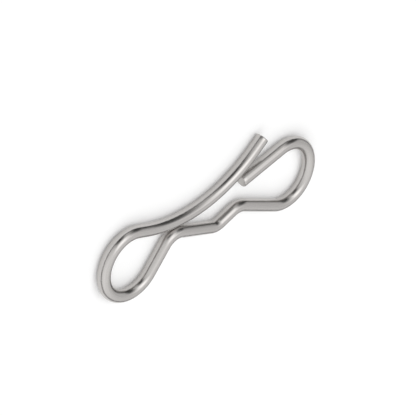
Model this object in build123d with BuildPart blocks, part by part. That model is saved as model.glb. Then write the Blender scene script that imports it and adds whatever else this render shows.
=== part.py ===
from build123d import *
from math import sqrt
import os

# Spring locking pin: one length of round spring wire, bent cold in one plane. From its first
# end the wire runs down a long bowed prong, round a near loop, past a neck that almost touches
# the prong, through a hollow seat and over a low peak, round a far loop of the same size, and
# back along a short tail that stops just short of the prong. In use the prong goes through a
# hole across a shaft, and the seat springs shut on the outside of that shaft.
# The pin lies flat: X runs along its length from the near loop to the far loop, Y across it
# towards the prong's end, and Z up through the wire. The origin is the middle of its underside.

# Wire, in millimetres
wire_dia = 3.0
end_break = 0.15  # chamfer left on both cut ends by tumbling

# Loops, both turned on the same mandrel
loop_inner_dia = 12.0

# Prong: a straight lead out of the near loop, a long bow and a short straight end
lead_angle = 19.0  # degrees that the lead dips below the pin's length
lead_length = 3.0
bow_radius = 34.5  # to the middle of the wire
bow_sweep = 55.3  # degrees
prong_end_length = 3.6

# Leg: distances along the pin's length, and bend radii to the middle of the wire
loop_to_neck = 5.8  # from the near loop's wire to the middle of the neck bend
neck_to_seat = 12.1
seat_to_peak = 6.4
peak_to_loop = 7.7  # from the middle of the peak bend to the far loop's wire
neck_radius = 4.5
seat_radius = 3.8
peak_radius = 5.0
seat_reach = 6.7  # from the middle of the prong's wire to the bare side of the seat
peak_rise = 1.6  # height of the peak above the lowest point of the seat
neck_gap = 0.2  # clearance between the leg and the prong at the neck

# Tail
tail_reach = 14.1  # from the far loop's centre back along the pin to the tail's upper corner
tail_gap = 0.4  # clearance between that corner and the prong

wire_radius = wire_dia / 2
loop_radius = loop_inner_dia / 2 + wire_radius
neck_x = loop_radius + loop_to_neck
seat_x = neck_x + neck_to_seat
peak_x = seat_x + seat_to_peak
far_loop_x = peak_x + peak_to_loop + loop_radius


def below_bow(bow, x, distance):
    """The point at x that lies this far below the centre of the prong's bow."""
    centre = bow.arc_center
    return Vector(x, centre.Y - sqrt(distance**2 - (x - centre.X) ** 2))


def bend_circle(centre, radius):
    """A full circle that a bend is turned on, for setting out only."""
    return CenterArc(centre, radius, 0, 360, mode=Mode.PRIVATE)


def straight_run(bend, next_bend):
    """The straight run that touches two bends, each given with the side that it is on."""
    return ConstrainedLines(bend, next_bend).edge()


# The wire is bent up around the near loop's centre, and set in its own frame afterwards.
with BuildPart() as bent_wire:
    with BuildLine() as route:
        # Prong, from the near loop outwards
        near_loop = bend_circle((0, 0), loop_radius)
        lead = PolarLine(near_loop @ ((90 - lead_angle) / 360), lead_length, -lead_angle)
        bow = JernArc(lead @ 1, lead % 1, bow_radius, bow_sweep)
        prong_end = Line(bow @ 1, bow @ 1 + (bow % 1) * prong_end_length)

        # Bend circles of the leg
        neck_reach = bow_radius + wire_dia + neck_gap + neck_radius
        neck = bend_circle(below_bow(bow, neck_x, neck_reach), neck_radius)
        seat_low = bow_radius + seat_reach + wire_radius
        seat = bend_circle(below_bow(bow, seat_x, seat_low - seat_radius), seat_radius)
        peak_y = seat.arc_center.Y - seat_radius + peak_rise - peak_radius
        peak = bend_circle((peak_x, peak_y), peak_radius)
        far_loop = bend_circle((far_loop_x, 0), loop_radius)

        # Straight runs of the leg. ENCLOSING is a bend on the left of its run, OUTSIDE one on
        # the right.
        shank = straight_run((near_loop, Tangency.ENCLOSING), (neck, Tangency.OUTSIDE))
        neck_run = straight_run((neck, Tangency.OUTSIDE), (seat, Tangency.ENCLOSING))
        seat_run = straight_run((seat, Tangency.ENCLOSING), (peak, Tangency.OUTSIDE))
        peak_run = straight_run((peak, Tangency.OUTSIDE), (far_loop, Tangency.ENCLOSING))

        # Tail: its upper side touches the outside of the far loop, and its upper corner is
        # tail_gap from the prong. The wire's middle lies half a wire below that side.
        tail_corner = below_bow(bow, far_loop_x - tail_reach, bow_radius + wire_radius + tail_gap)
        loop_outside = bend_circle(far_loop.arc_center, loop_radius + wire_radius)
        tail_side = ConstrainedLines(
            (loop_outside, Tangency.ENCLOSING), tail_corner, mode=Mode.PRIVATE
        ).edge()
        to_middle = (far_loop.arc_center - tail_side @ 0).normalized() * wire_radius
        tail = Line(tail_side @ 0 + to_middle, tail_side @ 1 + to_middle)

        # Bends between the straight runs
        TangentArc(lead @ 0, shank @ 0, tangent=(lead % 0) * -1)
        TangentArc(shank @ 1, neck_run @ 0, tangent=shank % 1)
        TangentArc(neck_run @ 1, seat_run @ 0, tangent=neck_run % 1)
        TangentArc(seat_run @ 1, peak_run @ 0, tangent=seat_run % 1)
        TangentArc(peak_run @ 1, tail @ 0, tangent=peak_run % 1)

    with BuildSketch(Plane(origin=prong_end @ 1, z_dir=prong_end % 1)):
        Circle(wire_radius)
    sweep(path=route.line)
    cut_ends = bent_wire.faces().filter_by(GeomType.PLANE).edges()
    chamfer(cut_ends, end_break)

bent_box = bent_wire.part.bounding_box()

with BuildPart() as spring_pin:
    with Locations((-bent_box.center().X, -bent_box.center().Y, -bent_box.min.Z)):
        add(bent_wire.part)

spring_pin.part.label = "spring_pin"
os.makedirs("parts", exist_ok=True)
export_step(spring_pin.part, "parts/spring_pin.step")
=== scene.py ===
from math import atan2, ceil, cos, pi, radians, sin, sqrt, tau

import bmesh
import bpy
from mathutils import Matrix, Vector


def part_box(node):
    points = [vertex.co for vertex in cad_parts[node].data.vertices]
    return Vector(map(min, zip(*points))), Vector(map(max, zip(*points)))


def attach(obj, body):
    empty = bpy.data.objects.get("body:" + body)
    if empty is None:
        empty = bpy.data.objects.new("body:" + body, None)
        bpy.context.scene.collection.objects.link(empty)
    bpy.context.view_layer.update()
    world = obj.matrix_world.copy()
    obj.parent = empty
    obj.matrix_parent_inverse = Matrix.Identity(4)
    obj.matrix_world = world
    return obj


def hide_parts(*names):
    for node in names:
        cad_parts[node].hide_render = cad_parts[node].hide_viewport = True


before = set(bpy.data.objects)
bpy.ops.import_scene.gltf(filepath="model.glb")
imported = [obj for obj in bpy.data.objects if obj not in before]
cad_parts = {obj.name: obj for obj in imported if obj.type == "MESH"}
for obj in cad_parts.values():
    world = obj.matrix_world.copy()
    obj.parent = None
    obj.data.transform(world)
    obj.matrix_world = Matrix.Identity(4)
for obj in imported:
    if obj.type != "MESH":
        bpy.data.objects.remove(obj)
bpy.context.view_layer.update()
scene = bpy.context.scene


# Spring wire
# One length of round hard-drawn stainless wire, cut square at both ends and bent cold in one
# plane round the pins of a bending jig. Tumbling took the sharp edge off both cuts. It lies
# flat, so its middle is half a wire above the floor.
wire_radius = 0.0015
cut_edge_radius = 0.00025
loop_radius = 0.0075  # this and the other bend radii are to the middle of the wire
prong_end_length = 0.0036
bow_radius, bow_sweep = 0.0345, radians(55.3)
lead_length, lead_dip = 0.003, radians(19)
neck_radius, seat_radius, peak_radius = 0.0045, 0.0038, 0.005
neck_distance, seat_distance, peak_distance = 0.0133, 0.0254, 0.0318  # from the near loop
neck_gap, tail_gap = 0.0002, 0.0004  # clearances to the prong
seat_reach = 0.0067  # from the middle of the prong's wire to the bare side of the seat
peak_rise = 0.0016  # of the peak above the lowest point of the seat
tail_reach = 0.0141  # from the far loop's middle back to the tail's upper corner
spokes = 64  # points round the wire
bend_step = 0.0006  # between rings of points along the middle of a bend, at most
bend_turn = radians(3)  # from one ring to the next, at most
run_step = 0.001  # between rings along a straight run, at most
sharp_turn = radians(30)  # between two faces that meet at a visible edge
face_inset = cut_edge_radius / 4  # of the fine ring of points inside each cut face

cad_low, cad_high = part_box("spring_pin")
loop_reach = loop_radius + wire_radius
middle_height = (cad_low.z + cad_high.z) / 2
section_radius = (cad_high.z - cad_low.z) / 2  # a hair under the wire's, to stay in the box
near_loop = Vector((cad_low.x + loop_reach, cad_low.y + loop_reach, middle_height))
far_loop = Vector((cad_high.x - loop_reach, near_loop.y, near_loop.z))


def ahead(heading):
    """The direction along the wire, for a heading in the pin's plane."""
    return Vector((cos(heading), sin(heading), 0))


def left_side(heading):
    """The direction in the pin's plane that lies on the left of a heading."""
    return Vector((-sin(heading), cos(heading), 0))


def run_between(middle, radius, next_middle, next_radius):
    """The heading and length of the straight run that touches two bends.

    A radius is above zero where the bend turns left, and below zero where it turns right."""
    across = next_middle - middle
    step_out = next_radius - radius
    length = sqrt(across.length_squared - step_out**2)
    return atan2(across.y, across.x) - atan2(step_out, length), length


def below_bow(distance_along, distance_out):
    """The point this far along the pin from the near loop, and this far out from the bow."""
    x = near_loop.x + distance_along
    drop = sqrt(distance_out**2 - (x - bow_middle.x) ** 2)
    return Vector((x, bow_middle.y - drop, near_loop.z))


def across_wire(point, tip, heading):
    """Where a point lies in the wire's section: beside its middle, and above it."""
    from_tip = point.co - tip
    return from_tip.dot(left_side(heading)), from_tip.z


# The middles of the bends, worked out from the near loop
lead_heading = pi - lead_dip
prong_heading = lead_heading + bow_sweep
lead_end = near_loop - left_side(lead_heading) * loop_radius
bow_end = lead_end - ahead(lead_heading) * lead_length
bow_middle = bow_end - left_side(lead_heading) * bow_radius
bow_start = bow_middle + left_side(prong_heading) * bow_radius
prong_tip = bow_start - ahead(prong_heading) * prong_end_length
neck = below_bow(neck_distance, bow_radius + 2 * wire_radius + neck_gap + neck_radius)
seat = below_bow(seat_distance, bow_radius + seat_reach + wire_radius - seat_radius)
seat_low = seat.y - seat_radius
peak = Vector((near_loop.x + peak_distance, seat_low + peak_rise - peak_radius, near_loop.z))
tail_corner = below_bow(far_loop.x - tail_reach - near_loop.x, bow_radius + wire_radius + tail_gap)

shank_heading, shank_length = run_between(near_loop, loop_radius, neck, -neck_radius)
neck_heading, neck_length = run_between(neck, -neck_radius, seat, seat_radius)
seat_heading, seat_length = run_between(seat, seat_radius, peak, -peak_radius)
peak_heading, peak_length = run_between(peak, -peak_radius, far_loop, loop_radius)
tail_heading, tail_length = run_between(far_loop, loop_reach, tail_corner, 0)

# The wire's outline starts as a circle at the prong's tip, and grows along the route.
bpy.ops.object.select_all(action="DESELECT")
bpy.ops.mesh.primitive_circle_add(
    vertices=spokes,
    radius=section_radius - cut_edge_radius,
    location=prong_tip,
    rotation=(pi / 2, 0, prong_heading + pi / 2),
)
spring_pin = bpy.context.object
spring_pin.name = "spring_pin_wire"
bpy.ops.object.transform_apply()
spoke_places = [
    across_wire(point, prong_tip, prong_heading) for point in spring_pin.data.vertices
]
ring_lengths = [0.0]  # how far along the wire each ring of points is
bpy.ops.object.mode_set(mode="EDIT")
bpy.ops.mesh.select_all(action="SELECT")


def grow_edge(middle, heading, opening):
    """Rounds the wire from its cut face out to its full section, or back in to the face."""
    arc_steps = 4
    turns = [pi / 2 * step / arc_steps for step in range(arc_steps + 1)]
    if not opening:
        turns.reverse()
    radii = [section_radius - cut_edge_radius * (1 - sin(turn)) for turn in turns]
    depths = [cut_edge_radius * (1 - cos(turn)) for turn in turns]
    for here in range(arc_steps):
        advance = abs(depths[here + 1] - depths[here])
        middle = middle + ahead(heading) * advance
        scale = radii[here + 1] / radii[here]
        bpy.ops.mesh.extrude_region_move(
            TRANSFORM_OT_translate={"value": ahead(heading) * advance}
        )
        bpy.ops.transform.resize(value=(scale, scale, scale), center_override=middle)
        ring_lengths.append(ring_lengths[-1] + advance)


def grow_run(heading, length):
    """Carries the wire straight on."""
    steps = ceil(length / run_step)
    for _ in range(steps):
        bpy.ops.mesh.extrude_region_move(
            TRANSFORM_OT_translate={"value": ahead(heading) * (length / steps)}
        )
        ring_lengths.append(ring_lengths[-1] + length / steps)


def grow_bend(middle, radius, heading, next_heading):
    """Turns the wire round a bend's middle, to the left if the radius is above zero."""
    turn = (next_heading - heading) % tau
    if radius < 0:
        turn -= tau
    length = abs(turn * radius)
    steps = ceil(max(length / bend_step, abs(turn) / bend_turn))
    bpy.ops.mesh.spin(steps=steps, angle=-turn, center=middle, axis=(0, 0, 1))
    ring_lengths.extend([ring_lengths[-1] + length * (n + 1) / steps for n in range(steps)])


grow_edge(prong_tip, prong_heading, opening=True)
grow_run(prong_heading, prong_end_length - cut_edge_radius)
grow_bend(bow_middle, -bow_radius, prong_heading, lead_heading)
grow_run(lead_heading, lead_length)
grow_bend(near_loop, loop_radius, lead_heading, shank_heading)
grow_run(shank_heading, shank_length)
grow_bend(neck, -neck_radius, shank_heading, neck_heading)
grow_run(neck_heading, neck_length)
grow_bend(seat, seat_radius, neck_heading, seat_heading)
grow_run(seat_heading, seat_length)
grow_bend(peak, -peak_radius, seat_heading, peak_heading)
grow_run(peak_heading, peak_length)
grow_bend(far_loop, loop_radius, peak_heading, tail_heading)
grow_run(tail_heading, tail_length - cut_edge_radius)
tail_start = far_loop - left_side(tail_heading) * loop_radius
tail_tip = tail_start + ahead(tail_heading) * tail_length
grow_edge(tail_tip - ahead(tail_heading) * cut_edge_radius, tail_heading, opening=False)

# The two cut faces, each with a fine ring inside its rounded edge
for tip in (prong_tip, tail_tip):
    bpy.ops.mesh.select_all(action="DESELECT")
    shape = bmesh.from_edit_mesh(spring_pin.data)
    for point in shape.verts:
        point.select = point.is_boundary and (point.co - tip).length < 2 * wire_radius
    shape.select_flush_mode()
    bmesh.update_edit_mesh(spring_pin.data)
    bpy.ops.mesh.edge_face_add()
    bpy.ops.mesh.inset(thickness=face_inset)
bpy.ops.mesh.select_all(action="SELECT")
bpy.ops.mesh.normals_make_consistent(inside=False)
bpy.ops.object.mode_set(mode="OBJECT")
bpy.ops.object.shade_smooth_by_angle(angle=sharp_turn)

# Where each point was on the straight wire, before it was bent: along it, and across it. The
# points inside the cut faces come after all the rings.
wire_length = ring_lengths[-1]
straight_wire = spring_pin.data.attributes.new("straight_wire", "FLOAT_VECTOR", "POINT")
for point in spring_pin.data.vertices:
    ring, spoke = divmod(point.index, spokes)
    if ring < len(ring_lengths):
        place = (ring_lengths[ring], *spoke_places[spoke])
    elif (point.co - prong_tip).length < wire_radius:
        place = (0, *across_wire(point, prong_tip, prong_heading))
    else:
        place = (wire_length, *across_wire(point, tail_tip, tail_heading))
    straight_wire.data[point.index].vector = place


class Finish:
    """The nodes of one finish. node() adds any node and gives back one of its outputs."""

    def __init__(self, owner):
        owner.use_nodes = True
        self.tree = owner.node_tree
        self.tree.nodes.clear()

    def node(self, kind, settings, inputs, output=0):
        """Adds a node, sets it up, then fills its inputs with values or links."""
        made = self.tree.nodes.new("ShaderNode" + kind)
        for name, setting in settings.items():
            setattr(made, name, setting)
        for name, value in inputs.items():
            if isinstance(value, Tone):
                self.tree.links.new(value.socket, made.inputs[name])
            else:
                made.inputs[name].default_value = value
        return Tone(self, made.outputs[output]) if made.outputs else None

    def math(self, operation, first, second=0):
        """A Math node that no sign stands for, such as the larger of two values."""
        return self.node("Math", {"operation": operation}, {0: first, 1: second})

    def rise(self, value, start, end):
        """0 before the start and 1 past the end, smooth between. It falls if end is lower."""
        return self.node(
            "MapRange",
            {"interpolation_type": "SMOOTHSTEP"},
            {"Value": value, "From Min": start, "From Max": end},
        )


class Tone:
    """An output in a finish. Sums and products of tones add the Math nodes for them."""

    def __init__(self, finish, socket):
        self.finish, self.socket = finish, socket

    def __add__(self, other):
        return self.finish.math("ADD", self, other)

    def __radd__(self, other):
        return self.finish.math("ADD", other, self)

    def __sub__(self, other):
        return self.finish.math("SUBTRACT", self, other)

    def __rsub__(self, other):
        return self.finish.math("SUBTRACT", other, self)

    def __mul__(self, other):
        return self.finish.math("MULTIPLY", self, other)

    def __rmul__(self, other):
        return self.finish.math("MULTIPLY", other, self)


# The die leaves streaks along the wire, and tumbling leaves them faint. Heights are in
# micrometres. The cut faces are matt and grainy, where the wire tore off.
streak_width, streak_length, streak_height = 0.0004, 0.025, 9
scratch_width, scratch_length, scratch_height = 0.00009, 0.008, 2.2
grain_size, grain_height = 0.00016, 24
mark_detail = 2  # how many times finer marks are laid over each kind
micrometre = 0.000001
steel_colour = (0.60, 0.58, 0.563, 1)
streak_colour = (0.46, 0.444, 0.431, 1)
streak_share = 0.6  # of what darkens the steel, where the scratches do the rest
smooth_roughness, streak_roughness, cut_roughness = 0.16, 0.12, 0.45
cut_rim = 0.00012  # how far the torn metal reaches round the broken edge, along the wire

drawn_stainless = bpy.data.materials.new("drawn_stainless")
steel = Finish(drawn_stainless)
on_wire = steel.node("Attribute", {"attribute_name": "straight_wire"}, {}, "Vector")


def marks(width, length):
    """Marks that are this wide across the wire and this long along it."""
    stretch = (1 / length, 1 / width, 1 / width)
    drawn_out = steel.node("Mapping", {}, {"Vector": on_wire, "Scale": stretch})
    return steel.node("TexNoise", {}, {"Vector": drawn_out, "Scale": 1, "Detail": mark_detail})


streaks = marks(streak_width, streak_length)
scratches = marks(scratch_width, scratch_length)
grain = marks(grain_size, grain_size)
along = steel.node("SeparateXYZ", {}, {"Vector": on_wire}, "X")
from_cut = steel.math("MINIMUM", along, wire_length - along)
cut = steel.rise(from_cut, cut_rim, 0)
skin_height = streaks * streak_height + scratches * scratch_height
height = skin_height * (1 - cut) + grain * grain_height * cut
skin_roughness = smooth_roughness + streaks * streak_roughness
skin_stain = streaks * streak_share + scratches * (1 - streak_share)
stain = skin_stain * (1 - cut) + grain * cut
surface = steel.node(
    "BsdfPrincipled",
    {},
    {
        "Base Color": steel.node(
            "Mix",
            {"data_type": "RGBA"},
            {"Factor": stain, "A": steel_colour, "B": streak_colour},
            "Result",
        ),
        "Metallic": 1,
        "Roughness": skin_roughness * (1 - cut) + cut_roughness * cut,
        "Normal": steel.node("Bump", {}, {"Height": height, "Distance": micrometre}),
    },
)
steel.node("OutputMaterial", {}, {"Surface": surface})
spring_pin.data.materials.append(drawn_stainless)
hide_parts("spring_pin")
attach(spring_pin, "root")


# Floor
# A wide sheet of matt white paper that the pin lies on. What lamp-light leaves it short of
# white is topped up for the camera and for what mirrors it, and the pin's shadow stays on it.
floor_side = 4
white = (1, 1, 1, 1)
paper_colour = (0.9, 0.9, 0.9, 1)
paper_top_up = 0.18

bpy.ops.object.select_all(action="DESELECT")
bpy.ops.mesh.primitive_plane_add(size=floor_side)
floor = bpy.context.object
floor.name = "floor"
floor_paper = bpy.data.materials.new("floor_paper")
paper = Finish(floor_paper)
seen = paper.node("LightPath", {}, {}, "Is Camera Ray")
mirrored = paper.node("LightPath", {}, {}, "Is Glossy Ray")
through = paper.node("LightPath", {}, {}, "Is Transmission Ray")
top_up = (seen + mirrored + through) * paper_top_up
matt = paper.node("BsdfDiffuse", {}, {"Color": paper_colour})
lift = paper.node("Emission", {}, {"Color": white, "Strength": top_up})
both = paper.node("AddShader", {}, {0: matt, 1: lift})
paper.node("OutputMaterial", {}, {"Surface": both})
floor.data.materials.append(floor_paper)


# Studio
# A tent of white cloth round the pin, with a black skirt at its foot. A wide lamp lights it
# through the cloth, and a small one hangs inside, in front of two black cards that give the
# bright metal its dark lines. All of it is far away, so it is the world's light.
tent_foot, tent_top = 0.8, 0.6  # levels of the cloth's light, where 1 is white
skirt_height = radians(10)
skirt_edge = radians(8)  # half the width of its soft edge
card_edge = radians(9)  # and of the cards' soft edges
black_cloth = 0.1  # what light the cards still give back, as a share of the tent's
lamp_core = 0.15  # how far a lamp keeps its full level, as a share of its reach

studio = bpy.data.worlds.new("studio")
scene.world = studio
air = Finish(studio)
direction = air.node("TexCoord", {}, {}, "Generated")
x, y, z = [air.node("SeparateXYZ", {}, {"Vector": direction}, axis) for axis in "XYZ"]
elevation = air.math("ARCSINE", z)


def soft_lamp(azimuth, height, reach, level):
    """A lamp's light, at its full level near its middle and faded out at its reach."""
    flat = cos(height)
    facing = x * (cos(azimuth) * flat) + y * (sin(azimuth) * flat) + z * sin(height)
    return air.rise(air.math("ARCCOSINE", facing), reach, reach * lamp_core) * level


def black_card(azimuth, half_width, height):
    """1 on a card that stands on the floor in this direction, and 0 beside and above it."""
    ahead_of_pin = x * cos(azimuth) + y * sin(azimuth)
    beside = y * cos(azimuth) - x * sin(azimuth)
    turned = air.math("ABSOLUTE", air.math("ARCTAN2", beside, ahead_of_pin))
    within = air.rise(turned, half_width + card_edge, half_width - card_edge)
    return within * air.rise(elevation, height + card_edge, height - card_edge)


side_lamp = soft_lamp(azimuth=radians(-141), height=radians(60), reach=radians(94), level=0.5)
top_lamp = soft_lamp(azimuth=radians(55), height=radians(62.5), reach=radians(34), level=1.07)
broad_card = black_card(azimuth=radians(37), half_width=radians(18.5), height=radians(63))
narrow_card = black_card(azimuth=radians(95), half_width=radians(14.5), height=radians(37))
cloth = tent_foot + z * (tent_top - tent_foot) + side_lamp
above_skirt = air.rise(elevation, skirt_height - skirt_edge, skirt_height + skirt_edge)
darkness = air.math("MAXIMUM", broad_card, narrow_card) * (1 - black_cloth)
strength = cloth * above_skirt * (1 - darkness) + top_lamp
glow = air.node("Background", {}, {"Color": white, "Strength": strength})
air.node("OutputWorld", {}, {"Surface": glow})


# Camera
# It looks down on the lying pin from beyond its near loop, and is rolled so that the pin runs
# up to the right.
camera_right = Vector((1, 0, 1)).normalized()
camera_up = Vector((1, 2, -1)).normalized()
camera_back = Vector((-1, 1, 1)).normalized()
aim = Vector((-0.000248, 0.000103, wire_radius))
camera_distance = 0.644
view_width = 0.0890  # across the picture, at the pin
film_width = 36  # millimetres
far_clip = 20

camera_place = Matrix.Translation(aim + camera_back * camera_distance)
camera_turn = Matrix((camera_right, camera_up, camera_back)).transposed().to_4x4()
bpy.ops.object.camera_add()
camera = bpy.context.object
camera.matrix_world = camera_place @ camera_turn
camera.data.sensor_width = film_width
camera.data.lens = film_width * camera_distance / view_width
camera.data.clip_end = far_clip
scene.camera = camera
scene.view_settings.view_transform = "Standard"
